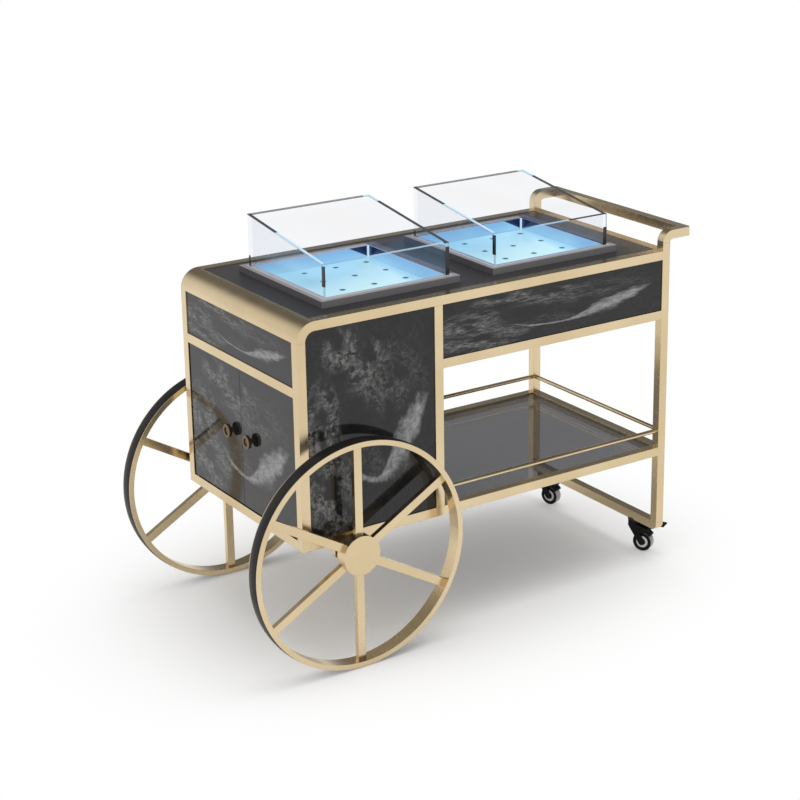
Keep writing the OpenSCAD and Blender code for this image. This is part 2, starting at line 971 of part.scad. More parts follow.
module shelf_rods() {
    color(gold) {
        for (side = [front, back])
            at_side(side)
                translate([x_mid_post + tube, -y_side + tube / 2, low_z + rod_z])
                    rotate([0, 90, 0])
                        cylinder(d = rod_d, h = x_right - 2 * tube - x_mid_post, $fn = round_fn);
        translate([x_right - tube / 2, y_in, low_z + rod_z])
            rotate([90, 0, 0])
                cylinder(d = rod_d, h = 2 * y_in, $fn = round_fn);
    }
}

left_post(front);  // front_left_post
left_post(back);  // back_left_post
mid_post(front);  // front_mid_post
mid_post(back);  // back_mid_post
right_post(front);  // front_right_post
right_post(back);  // back_right_post
top_rail(front);  // front_top_rail
top_rail(back);  // back_top_rail
cross_rail(x_right - tube, top_z);  // right_top_rail
corner_sheet();
side_rail(x_mid_post + tube, front, mid_z);  // front_mid_rail
side_rail(x_mid_post + tube, back, mid_z);  // back_mid_rail
cross_rail(x_left, mid_z);  // left_mid_rail
cross_rail(x_right - tube, mid_z);  // right_mid_rail
side_rail(x_left + tube, front, low_z);  // front_low_rail
side_rail(x_left + tube, back, low_z);  // back_low_rail
cross_rail(x_left, low_z);  // left_low_rail
cross_rail(x_mid_post, low_z);  // middle_low_rail
cross_rail(x_right - tube, low_z);  // right_low_rail
caster_beam();
handle();
axle();
axle_brackets();
axle_fasteners();
wheel_tyre(front);  // front_wheel_tyre
wheel_rim(front);  // front_wheel_rim
wheel_spider(front);  // front_wheel_spider
wheel_tyre(back);  // back_wheel_tyre
wheel_rim(back);  // back_wheel_rim
wheel_spider(back);  // back_wheel_spider
caster_stems();
caster_fork(front);  // front_caster_fork
caster_wheel(front);  // front_caster_wheel
brake_pedal(front);  // front_brake_pedal
caster_fork(back);  // back_caster_fork
caster_wheel(back);  // back_caster_wheel
brake_pedal(back);  // back_brake_pedal
cabinet_panel(front);  // front_cabinet_panel
cabinet_panel(back);  // back_cabinet_panel
upper_end_panel();
cabinet_divider();
cabinet_floor();
apron(front);  // front_apron
apron(back);  // back_apron
right_apron();
door(front);  // front_door
door(back);  // back_door
knob(front);  // front_knob
knob(back);  // back_knob
door_pivots();
top_panel();
well_pan(0);  // left_well_pan
well_pan(1);  // right_well_pan
well_floor(0);  // left_well_floor
well_floor(1);  // right_well_floor
light_bars();
glass_guard(0);  // left_glass_guard
glass_guard(1);  // right_glass_guard
bay_shelf();
shelf_rods();
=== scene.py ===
"""Looks of the serving trolley: materials, trims, caster rollers, bolts, floor, light and camera."""

import json
import math

import bmesh
import bpy
from mathutils import Matrix, Vector


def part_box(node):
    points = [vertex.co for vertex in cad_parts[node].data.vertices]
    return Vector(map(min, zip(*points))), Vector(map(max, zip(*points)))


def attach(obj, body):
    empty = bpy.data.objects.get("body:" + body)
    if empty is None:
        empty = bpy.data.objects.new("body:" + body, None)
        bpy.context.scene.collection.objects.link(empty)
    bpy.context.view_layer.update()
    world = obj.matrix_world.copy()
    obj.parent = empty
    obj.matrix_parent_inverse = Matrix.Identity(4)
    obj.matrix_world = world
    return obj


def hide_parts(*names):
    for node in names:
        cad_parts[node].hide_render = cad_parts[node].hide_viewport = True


MM = 0.001

# The camera that takes the photograph's view. Angles in degrees, places in metres.
CAMERA_PLACE = (-2.710, -4.142, 2.276)
CAMERA_YAW = 34.65
CAMERA_PITCH = 17.53
CAMERA_ROLL = -0.4
CAMERA_LENS = 86.3
CAMERA_SHIFT = (-0.076, -0.080)

# Linear colours of metals
GOLD = (0.74, 0.60, 0.385, 1)
GOLD_DEEP = (0.67, 0.53, 0.32, 1)
ANTIQUE = (0.20, 0.15, 0.095, 1)
ANTIQUE_DEEP = (0.15, 0.105, 0.06, 1)
DARK_STEEL = (0.06, 0.06, 0.06, 1)
DARK_STEEL_DEEP = (0.04, 0.04, 0.04, 1)
STEEL = (0.55, 0.55, 0.55, 1)
STEEL_DEEP = (0.45, 0.45, 0.46, 1)

# Linear colours of the stone, the boards and the pans, with the painted light, highlight and shade on the
# pans' rims
STONE = (0.009, 0.009, 0.0092, 1)
STONE_CLOUD = (0.24, 0.24, 0.232, 1)
STONE_VEIN = (0.42, 0.42, 0.43, 1)
TOP_DARK = (0.022, 0.021, 0.023, 1)
BOARD_PALE = (0.70, 0.66, 0.60, 1)
BOARD_DEEP = (0.62, 0.58, 0.52, 1)
RIM_SIDE = (0.105, 0.100, 0.105, 1)
RIM_FRONT_LIT = (0.185, 0.180, 0.185, 1)
RIM_TOP_LIT = (0.26, 0.25, 0.26, 1)
RIM_HIGHLIGHT = (0.50, 0.49, 0.51, 1)
RIM_NAVY_SHADE = (0.055, 0.065, 0.12, 1)

# Linear colours of what is lit from below, with the painted glow, shadow and highlight on the wells' walls
# and the painted shade in the drains
WELL_BRIGHT = (0.63, 0.92, 1.0, 1)
WELL_BLUE = (0.30, 0.62, 0.84, 1)
WALL_GLOW_PALE = (0.32, 0.62, 0.84, 1)
WALL_GLOW_BLUE = (0.21, 0.44, 0.74, 1)
WALL_SHADOW_NAVY = (0.006, 0.016, 0.075, 1)
WALL_CORNER_HIGHLIGHT = (0.55, 0.82, 0.92, 1)
DRAIN_SHADE = (0.07, 0.16, 0.20, 1)
DRAIN_RING = (0.09, 0.21, 0.27, 1)
LAMP_BLUE = (0.5, 0.75, 1.0, 1)
LAMP_WHITE = (0.85, 0.95, 1.0, 1)

# Linear colours of glass, with the painted reflections on its edges and its blue-tinted gloss, and of rubber
# and plastic
GLASS_TINT = (0.966, 0.966, 0.970, 1)
EDGE_DARK_REFLECTION = (0.012, 0.015, 0.026, 1)
EDGE_LINE_REFLECTION = (0.050, 0.052, 0.060, 1)
GLASS_REFLECTION_BLUE = (0.52, 0.75, 1.0, 1)
EDGE_GREY_REFLECTION = (0.24, 0.24, 0.25, 1)
EDGE_PALE_REFLECTION = (0.50, 0.68, 0.83, 1)
SHELF_DARK = (0.055, 0.055, 0.056, 1)
SHELF_TINT = (0.86, 0.86, 0.88, 1)
TYRE_BLACK = (0.012, 0.010, 0.010, 1)
PLASTIC_BLACK = (0.005, 0.005, 0.0055, 1)
TREAD_GREY = (0.36, 0.36, 0.36, 1)
RING_GREY = (0.70, 0.70, 0.71, 1)

# Linear colours of the room
FLOOR_PALE = (0.80, 0.80, 0.80, 1)
ROOM_GREY = (0.72, 0.72, 0.72, 1)
CEILING_PALE = (0.9, 0.9, 0.9, 1)
CEILING_DARK = (0.16, 0.16, 0.16, 1)
BLACK = (0.0, 0.0, 0.0, 1)
WHITE = (1.0, 1.0, 1.0, 1)

# The stone's vein, in shares of a slab. It turns at a place, climbs to the right by a slope that steepens,
# and curves up again to the left. A band is where something begins, is full, starts to fade and ends.
VEIN_TURN = (0.56, 0.21)
VEIN_SLOPE = 0.75
VEIN_STEEPENS = 0.6
VEIN_TAIL_CURVE = 2.1
VEIN_THIN = 0.022
VEIN_SWELL = 0.135
VEIN_CLOUD = (0.54, 0.74, 0.82, 0.97)
VEIN_SPAN = (0.26, 0.42, 0.86, 0.97)

# The mottled patches: middle, size and strength, in shares of a slab, and how strong they are anywhere else
MOTTLED_PATCHES = [((0.27, 0.88), (0.15, 0.13), 1.0), ((0.46, 0.78), (0.12, 0.13), 0.8),
                   ((0.10, 0.52), (0.15, 0.24), 1.0), ((0.17, 0.18), (0.20, 0.22), 1.0),
                   ((0.62, 0.70), (0.30, 0.16), 0.45), ((0.45, 0.30), (0.16, 0.12), 0.35)]
MOTTLED_ELSEWHERE = 0.05

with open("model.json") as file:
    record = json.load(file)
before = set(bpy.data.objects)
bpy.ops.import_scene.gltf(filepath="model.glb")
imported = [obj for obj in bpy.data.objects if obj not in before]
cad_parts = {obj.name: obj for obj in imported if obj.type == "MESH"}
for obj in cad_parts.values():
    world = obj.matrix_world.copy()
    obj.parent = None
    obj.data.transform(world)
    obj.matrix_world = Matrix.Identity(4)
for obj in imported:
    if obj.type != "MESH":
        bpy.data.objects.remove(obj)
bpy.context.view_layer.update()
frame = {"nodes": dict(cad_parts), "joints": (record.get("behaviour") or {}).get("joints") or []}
nodes = frame["nodes"]


# Node trees

def add(tree, kind, settings=None, **inputs):
    """Adds a shader node. A keyword names an input, with _ for a space, and gives a value or a socket."""
    made = tree.nodes.new(kind)
    for key, value in (settings or {}).items():
        setattr(made, key, value)
    for key, value in inputs.items():
        connect(tree, made.inputs[key.replace("_", " ")], value)
    return made


def connect(tree, socket, value):
    """Links a socket to an input, or sets the input to a value."""
    if isinstance(value, bpy.types.NodeSocket):
        tree.links.new(value, socket)
    else:
        socket.default_value = value


def math_node(tree, operation, *values, clamp=False):
    """Result of one mathematical operation."""
    made = add(tree, "ShaderNodeMath", {"operation": operation, "use_clamp": clamp})
    for socket, value in zip(made.inputs, values):
        connect(tree, socket, value)
    return made.outputs[0]


def distance(tree, value, place):
    """Distance of a value from a place."""
    return math_node(tree, "ABSOLUTE", math_node(tree, "SUBTRACT", value, place))


def squares(tree, first, second):
    """Sum of the squares of two values."""
    return math_node(tree, "ADD", math_node(tree, "POWER", first, 2.0), math_node(tree, "POWER", second, 2.0))


def swing(tree, value, span):
    """Turns a value from 0 to 1 into one that swings by a span about 0."""
    return math_node(tree, "MULTIPLY_ADD", value, span, -span / 2)


def smooth(tree, value, low, high, to_low=0.0, to_high=1.0):
    """Smooth step of a value between two limits."""
    made = add(tree, "ShaderNodeMapRange", {"interpolation_type": "SMOOTHSTEP"},
               Value=value, From_Min=low, From_Max=high, To_Min=to_low, To_Max=to_high)
    return made.outputs["Result"]


def all_of(tree, *values):
    """Product of masks."""
    result = values[0]
    for value in values[1:]:
        result = math_node(tree, "MULTIPLY", result, value)
    return result


def any_of(tree, *values):
    """Greatest of masks."""
    result = values[0]
    for value in values[1:]:
        result = math_node(tree, "MAXIMUM", result, value)
    return result


def near(tree, value, place, reach):
    """1 where a value lies within a reach of a place."""
    return math_node(tree, "COMPARE", value, place, reach)


def above(tree, value, limit):
    """1 where a value is greater than a limit."""
    return math_node(tree, "GREATER_THAN", value, limit)


def below(tree, value, limit):
    """1 where a value is less than a limit."""
    return math_node(tree, "LESS_THAN", value, limit)


def band(tree, value, begins, full, fades, ends):
    """Soft mask over a band: it begins, is full, starts to fade and ends at these values."""
    return all_of(tree, smooth(tree, value, begins, full), smooth(tree, value, ends, fades))


def blob(tree, u, v, middle, size, strength):
    """Soft oval patch on a slab, full near its middle and gone a little beyond its size."""
    full, gone = 0.1, 1.5
    across = math_node(tree, "DIVIDE", math_node(tree, "SUBTRACT", u, middle[0]), size[0])
    up = math_node(tree, "DIVIDE", math_node(tree, "SUBTRACT", v, middle[1]), size[1])
    return smooth(tree, squares(tree, across, up), gone, full, to_high=strength)


def mix(tree, factor, first, second):
    """Mix of two colours."""
    made = add(tree, "ShaderNodeMix", {"data_type": "RGBA"})
    connect(tree, made.inputs["Factor"], factor)
    colours = [s for s in made.inputs if s.type == "RGBA"]
    connect(tree, colours[0], first)
    connect(tree, colours[1], second)
    return [s for s in made.outputs if s.type == "RGBA"][0]


def blend(tree, factor, first, second):
    """Mix of two shaders."""
    made = add(tree, "ShaderNodeMixShader")
    connect(tree, made.inputs[0], factor)
    connect(tree, made.inputs[1], first.outputs[0])
    connect(tree, made.inputs[2], second.outputs[0])
    return made


def mix_value(tree, factor, first, second):
    """Mix of two values."""
    made = add(tree, "ShaderNodeMapRange", Value=factor, To_Min=first, To_Max=second)
    return made.outputs["Result"]


def noise(tree, place, scale, detail=4.0, roughness=0.55, distortion=0.0):
    """Noise from 0 to 1 at a place."""
    made = add(tree, "ShaderNodeTexNoise", Vector=place, Scale=scale, Detail=detail,
               Roughness=roughness, Distortion=distortion)
    return made.outputs["Fac"]


def moved(tree, place, **inputs):
    """Place in a pattern that is shifted, turned or stretched."""
    return add(tree, "ShaderNodeMapping", Vector=place, **inputs).outputs["Vector"]


def here(tree):
    """Place on the object in metres, in the frame of the part."""
    return add(tree, "ShaderNodeTexCoord").outputs["Object"]


def parts_of(tree, place):
    """The three coordinates of a place."""
    made = add(tree, "ShaderNodeSeparateXYZ", Vector=place)
    return made.outputs["X"], made.outputs["Y"], made.outputs["Z"]


def scaled(colour, share, more=0.0):
    """Colour made lighter or darker by a share, up to 1."""
    return tuple(min(1.0, c * share + more) for c in colour[:3]) + (1,)


def material(name):
    """New material with an empty node tree."""
    made = bpy.data.materials.new(name)
    made.use_nodes = True
    made.node_tree.nodes.clear()
    return made, made.node_tree


def surface(tree, shader):
    """Ends a node tree with its shader."""
    add(tree, "ShaderNodeOutputMaterial", Surface=shader.outputs[0])


def bump(tree, height, strength, distance=0.001, edge=0.0):
    """Normal with a fine relief, over edges that are eased by a radius."""
    made = add(tree, "ShaderNodeBump", Height=height, Strength=strength, Distance=distance)
    if edge:
        eased = add(tree, "ShaderNodeBevel", {"samples": 4}, Radius=edge)
        tree.links.new(eased.outputs["Normal"], made.inputs["Normal"])
    return made.outputs["Normal"]


# Materials

def satin_metal(name, base, deep, rough, edge):
    """Satin metal with a faint grain and slightly uneven gloss."""
    made, tree = material(name)
    place = here(tree)
    broad = smooth(tree, noise(tree, place, scale=3.0, detail=3.0), 0.35, 0.65)
    gloss = smooth(tree, noise(tree, place, scale=14.0), 0.3, 0.7, to_low=rough - 0.04, to_high=rough + 0.05)
    grain = noise(tree, place, scale=900.0, detail=2.0)
    shader = add(tree, "ShaderNodeBsdfPrincipled", Base_Color=mix(tree, broad, base, deep), Metallic=1.0,
                 Roughness=gloss, Normal=bump(tree, grain, strength=0.02, distance=0.0002, edge=edge))
    surface(tree, shader)
    return made


def moulded(name, colour, rough, grain=500.0, strength=0.15, edge=0.0, gloss=0.5):
    """Rubber or plastic with a fine moulded grain and patches of handling."""
    made, tree = material(name)
    place = here(tree)
    patches = smooth(tree, noise(tree, place, scale=25.0, detail=5.0), 0.35, 0.75)
    lighter = scaled(colour, 1.5, more=0.004)
    roughness = smooth(tree, patches, 0.0, 1.0, to_low=rough - 0.05, to_high=rough + 0.08)
    relief = noise(tree, place, scale=grain, detail=3.0)
    shader = add(tree, "ShaderNodeBsdfPrincipled", Base_Color=mix(tree, patches, colour, lighter),
                 Roughness=roughness, Specular_IOR_Level=gloss,
                 Normal=bump(tree, relief, strength=strength, distance=0.0005, edge=edge))
    surface(tree, shader)
    return made


def marble(name, origin, across, width, height):
    """Polished dark marble laminate. The same slab shows on each face, fitted to its width and height.

    origin is the lower left corner as seen from outside, and across the direction to the right.
    """
    made, tree = material(name)
    shifted = add(tree, "ShaderNodeVectorMath", {"operation": "SUBTRACT"})
    connect(tree, shifted.inputs[0], here(tree))
    shifted.inputs[1].default_value = origin
    along = add(tree, "ShaderNodeVectorMath", {"operation": "DOT_PRODUCT"})
    connect(tree, along.inputs[0], shifted.outputs["Vector"])
    along.inputs[1].default_value = across
    rise = parts_of(tree, shifted.outputs["Vector"])[2]
    u = math_node(tree, "DIVIDE", along.outputs["Value"], width)
    v = math_node(tree, "DIVIDE", rise, height)
    slab = add(tree, "ShaderNodeCombineXYZ", X=u, Y=v).outputs["Vector"]

    # Slow wandering, which bends all forms alike
    bend, vein_bend, fray = 0.16, 0.7, 0.34
    elsewhere = moved(tree, slab, Location=(3.7, 1.9, 0.0))
    bend_u = swing(tree, noise(tree, slab, scale=4.0, detail=3.0, roughness=0.5), bend)
    bend_v = swing(tree, noise(tree, elsewhere, scale=5.0, detail=4.0, roughness=0.6), bend)
    bent_u = math_node(tree, "ADD", u, bend_u)
    bent_v = math_node(tree, "ADD", v, bend_v)

    # The pale vein: a thin tail that turns upwards and widens to a cloud on the right
    run = math_node(tree, "SUBTRACT", u, VEIN_TURN[0])
    rising = math_node(tree, "MAXIMUM", run, 0.0)
    falling = math_node(tree, "MINIMUM", run, 0.0)
    slope = math_node(tree, "MULTIPLY_ADD", rising, VEIN_STEEPENS, VEIN_SLOPE)
    climb = math_node(tree, "MULTIPLY", rising, slope)
    tail = math_node(tree, "MULTIPLY", math_node(tree, "POWER", falling, 2.0), VEIN_TAIL_CURVE)
    spine = math_node(tree, "ADD", math_node(tree, "ADD", climb, tail), VEIN_TURN[1])
    wander = math_node(tree, "MULTIPLY", bend_v, vein_bend)
    away = math_node(tree, "ABSOLUTE", math_node(tree, "ADD", math_node(tree, "SUBTRACT", v, spine), wander))
    swell = band(tree, u, *VEIN_CLOUD)
    frayed = swing(tree, noise(tree, slab, scale=8.0, detail=6.0, roughness=0.68), fray)
    away = math_node(tree, "ADD", away, math_node(tree, "MULTIPLY", frayed, swell))
    reach = math_node(tree, "MULTIPLY_ADD", swell, VEIN_SWELL, VEIN_THIN)
    core = smooth(tree, math_node(tree, "DIVIDE", away, reach), 1.0, 0.1)
    speckle = smooth(tree, noise(tree, slab, scale=24.0, detail=8.0, roughness=0.75), 0.30, 0.62, to_low=0.25)
    vein = all_of(tree, core, band(tree, u, *VEIN_SPAN), speckle)

    # Mottled swirls: curls at the top left, a speckled band down the left, and fainter wisps in the middle
    curls, curl_line, thread_line = 7.0, (0.32, 0.04), (0.07, 0.005)
    slant, haze_share, vein_share = math.radians(60), 0.35, 0.9
    patches = [blob(tree, bent_u, bent_v, *patch) for patch in MOTTLED_PATCHES]
    where = any_of(tree, MOTTLED_ELSEWHERE, *patches)
    slanted = moved(tree, slab, Rotation=(0, 0, slant), Scale=(1.0, 1.8, 1.0))
    swirls = noise(tree, slanted, scale=5.0, detail=5.0, roughness=0.62, distortion=1.2)
    worms = noise(tree, slanted, scale=13.0, detail=5.0, roughness=0.6, distortion=1.0)
    levels = math_node(tree, "FRACT", math_node(tree, "MULTIPLY", swirls, curls))
    rings = smooth(tree, distance(tree, levels, 0.5), *curl_line)
    threads = smooth(tree, distance(tree, worms, 0.5), *thread_line)
    clumps = smooth(tree, noise(tree, slab, scale=6.5, detail=3.0, roughness=0.5), 0.38, 0.56)
    broken = smooth(tree, noise(tree, slab, scale=32.0, detail=5.0, roughness=0.66), 0.38, 0.62)
    mottle = all_of(tree, where, clumps, broken, any_of(tree, rings, threads))
    haze = all_of(tree, where, clumps, smooth(tree, worms, 0.35, 0.70), haze_share)

    ground = mix(tree, smooth(tree, bend_v, -0.04, 0.05), STONE, scaled(STONE, 1.8))
    hazy = mix(tree, haze, ground, STONE_CLOUD)
    mottled = mix(tree, mottle, hazy, STONE_CLOUD)
    colour = mix(tree, math_node(tree, "MULTIPLY", vein, vein_share), mottled, STONE_VEIN)
    waves = noise(tree, slab, scale=3.0, detail=1.0)
    shader = add(tree, "ShaderNodeBsdfPrincipled", Base_Color=colour, IOR=1.42,
                 Roughness=smooth(tree, speckle, 0.0, 1.0, to_low=0.05, to_high=0.09),
                 Normal=bump(tree, waves, strength=0.02, distance=0.001, edge=0.0008))
    surface(tree, shader)
    return made


def solid_surface(name, colour, rough, underside=None):
    """Dark satin sheet with a barely visible fleck. Its underside, at a height, can be left pale."""
    fleck_share, underside_skin = 0.35, 0.3 * MM
    made, tree = material(name)
    place = here(tree)
    fleck = smooth(tree, noise(tree, place, scale=420.0, detail=2.0, roughness=0.5), 0.60, 0.72)
    broad = smooth(tree, noise(tree, place, scale=5.0, detail=3.0), 0.3, 0.7)
    ground = mix(tree, broad, colour, scaled(colour, 1.35))
    mottled = mix(tree, math_node(tree, "MULTIPLY", fleck, fleck_share), ground, scaled(colour, 2.2))
    if underside is not None:
        unpainted = below(tree, parts_of(tree, place)[2], underside + underside_skin)
        mottled = mix(tree, unpainted, mottled, mix(tree, broad, BOARD_PALE, BOARD_DEEP))
    relief = noise(tree, place, scale=300.0, detail=2.0)
    shader = add(tree, "ShaderNodeBsdfPrincipled", Base_Color=mottled,
                 Roughness=smooth(tree, broad, 0.0, 1.0, to_low=rough, to_high=rough + 0.06),
                 Normal=bump(tree, relief, strength=0.04, distance=0.0004, edge=0.0008))
    surface(tree, shader)
    return made


def well_pan(name, floor_low, floor_high, outer_low, rim_top):
    """Pan of a well. Its dark rim has painted light on its top and front, a painted highlight at the glass
    and painted navy shade under the far panes. Inside, its walls glow with painted light from the floor, with
    painted shadow and a painted highlight at the far corner.
    """
    gap, line, line_fade = 0.3 * MM, 13 * MM, 5 * MM
    back_tip, right_tip, tip_fade = 68 * MM, 105 * MM, 0.10
    corner_line, corner_fade = 8 * MM, 0.7
    height_share, far_rim, far_rim_share, unlit_dark = 0.6, 3 * MM, 0.85, 0.8
    made, tree = material(name)
    place = here(tree)
    x, y, z = parts_of(tree, place)
    middle = (floor_low + floor_high) / 2
    half = (floor_high - floor_low) / 2
    away_x = math_node(tree, "SUBTRACT", distance(tree, x, middle.x), half.x)
    away_y = math_node(tree, "SUBTRACT", distance(tree, y, middle.y), half.y)
    away = math_node(tree, "MAXIMUM", away_x, away_y)
    inside = all_of(tree, below(tree, away, 2 * gap), below(tree, z, rim_top - gap))

    # Walls: a painted glow of the floor's light, navy painted shadow in a wedge on each side of the far
    # corner, and a painted highlight line down the corner
    height = smooth(tree, z, floor_high.z, rim_top)
    level = math_node(tree, "DIVIDE", math_node(tree, "SUBTRACT", z, floor_high.z), rim_top - floor_high.z)
    from_right = math_node(tree, "SUBTRACT", floor_high.x + gap, x)
    from_back = math_node(tree, "SUBTRACT", floor_high.y + gap, y)
    on_back = near(tree, from_back, 0.0, gap)
    on_right = near(tree, from_right, 0.0, gap)

    def wedge(from_corner, tip):
        """Mask that starts at the foot of the corner and widens to a tip at the rim."""
        slant = math_node(tree, "DIVIDE", from_corner, tip)
        return smooth(tree, math_node(tree, "SUBTRACT", level, slant), 0.0, tip_fade)

    shadow_wedge = any_of(tree, all_of(tree, on_back, wedge(from_right, back_tip)),
                  all_of(tree, on_right, wedge(from_back, right_tip)))
    # Painted highlight line down the far corner
    corner = all_of(tree, on_back, smooth(tree, from_right, corner_line, corner_line * corner_fade))
    uneven = smooth(tree, noise(tree, place, scale=6.0, detail=1.0), 0.35, 0.65, to_high=0.5)
    # Painted glow, paler near the lit floor and bluer towards the rim, unevenly
    bluer = math_node(tree, "ADD", math_node(tree, "MULTIPLY", height, height_share), uneven, clamp=True)
    lit = mix(tree, bluer, WALL_GLOW_PALE, WALL_GLOW_BLUE)
    lit = mix(tree, corner, mix(tree, shadow_wedge, lit, WALL_SHADOW_NAVY), WALL_CORNER_HIGHLIGHT)
    # Painted shade below the level of the lit floor, seen through the holes
    lit = mix(tree, below(tree, z, floor_high.z - MM), lit, DRAIN_SHADE)

    # Rim: painted light on its top and front face, a painted pale highlight on top along the foot of the
    # glass, and navy painted shade under the far panes
    fleck = smooth(tree, noise(tree, place, scale=420.0, detail=2.0), 0.60, 0.72, to_high=0.2)
    on_top = above(tree, z, rim_top - gap)
    on_front = near(tree, y, outer_low.y, gap)
    on_far_side = all_of(tree, above(tree, x, floor_high.x + far_rim), above(tree, y, floor_low.y))
    rim = mix(tree, on_top, mix(tree, on_front, RIM_SIDE, RIM_FRONT_LIT), RIM_TOP_LIT)
    rim = mix(tree, fleck, rim, scaled(RIM_SIDE, 2))
    rim = mix(tree, all_of(tree, on_top, smooth(tree, away, line + line_fade, line)), rim, RIM_HIGHLIGHT)
    rim = mix(tree, all_of(tree, on_top, on_far_side, far_rim_share), rim, RIM_NAVY_SHADE)
    relief = noise(tree, place, scale=300.0, detail=2.0)
    dark = add(tree, "ShaderNodeBsdfPrincipled", Base_Color=rim, Roughness=0.33,
               Normal=bump(tree, relief, strength=0.04, distance=0.0004, edge=0.001))
    wall_glow = add(tree, "ShaderNodeBsdfPrincipled", Base_Color=mix(tree, unlit_dark, lit, BLACK),
               Roughness=0.2, Emission_Color=lit, Emission_Strength=0.85)
    surface(tree, blend(tree, inside, dark, wall_glow))
    return made


def lit_floor(name, low, high):
    """Sheet lit from below, palest in front and bluer beside the walls, with dark rings at its holes and
    painted shade inside them.
    """
    pitch, ring_out, ring_in, skin = 97 * MM, 10 * MM, 7 * MM, 0.3 * MM
    right_paler, drift_span, wall_from, wall_share, unlit_dark = 0.35, 0.9, 0.62, 0.8, 0.7
    made, tree = material(name)
    place = here(tree)
    x, y, z = parts_of(tree, place)
    middle = (low + high) / 2
    half_width = (high.x - low.x) / 2
    v = smooth(tree, y, low.y, high.y)
    u = smooth(tree, x, low.x, high.x)
    fade = math_node(tree, "SUBTRACT", v, math_node(tree, "MULTIPLY", u, right_paler))
    drift = swing(tree, noise(tree, place, scale=5.0, detail=2.0), drift_span)
    off_middle = distance(tree, x, middle.x)
    at_wall = smooth(tree, off_middle, half_width * wall_from, half_width, to_high=wall_share)
    cloudy = any_of(tree, math_node(tree, "ADD", fade, drift, clamp=True), at_wall)

    def from_hole(value, centre):
        """Distance along one axis to the nearest row of holes."""
        shifted = math_node(tree, "DIVIDE", math_node(tree, "SUBTRACT", value, centre), pitch)
        share = math_node(tree, "SUBTRACT", math_node(tree, "FRACT", shifted), 0.5)
        return math_node(tree, "MULTIPLY", share, pitch)

    off_hole = math_node(tree, "SQRT", squares(tree, from_hole(x, middle.x), from_hole(y, middle.y)))
    ring = smooth(tree, off_hole, ring_out, ring_in)
    # Painted shade inside the drain holes
    bore = below(tree, z, high.z - skin)
    colour = mix(tree, cloudy, WELL_BRIGHT, WELL_BLUE)
    colour = mix(tree, bore, mix(tree, ring, colour, DRAIN_RING), DRAIN_SHADE)
    relief = noise(tree, place, scale=60.0, detail=2.0)
    shader = add(tree, "ShaderNodeBsdfPrincipled", Base_Color=mix(tree, unlit_dark, colour, BLACK),
                 Roughness=0.32, Specular_IOR_Level=0.25, Emission_Color=colour, Emission_Strength=0.68,
                 Normal=bump(tree, relief, strength=0.05, distance=0.0005))
    surface(tree, shader)
    return made


def light_tube(name):
    """Diffuser of a light bar with a row of soft brighter spots."""
    radians_per_metre, darker, swell = 380.0, 0.8, 0.2
    made, tree = material(name)
    x = parts_of(tree, here(tree))[0]
    wave = math_node(tree, "SINE", math_node(tree, "MULTIPLY", x, radians_per_metre))
    spots = math_node(tree, "MULTIPLY_ADD", wave, swell, darker)
    colour = mix(tree, spots, LAMP_BLUE, LAMP_WHITE)
    shader = add(tree, "ShaderNodeBsdfPrincipled", Base_Color=colour, Roughness=0.4,
                 Emission_Color=colour, Emission_Strength=1.5)
    surface(tree, shader)
    return made


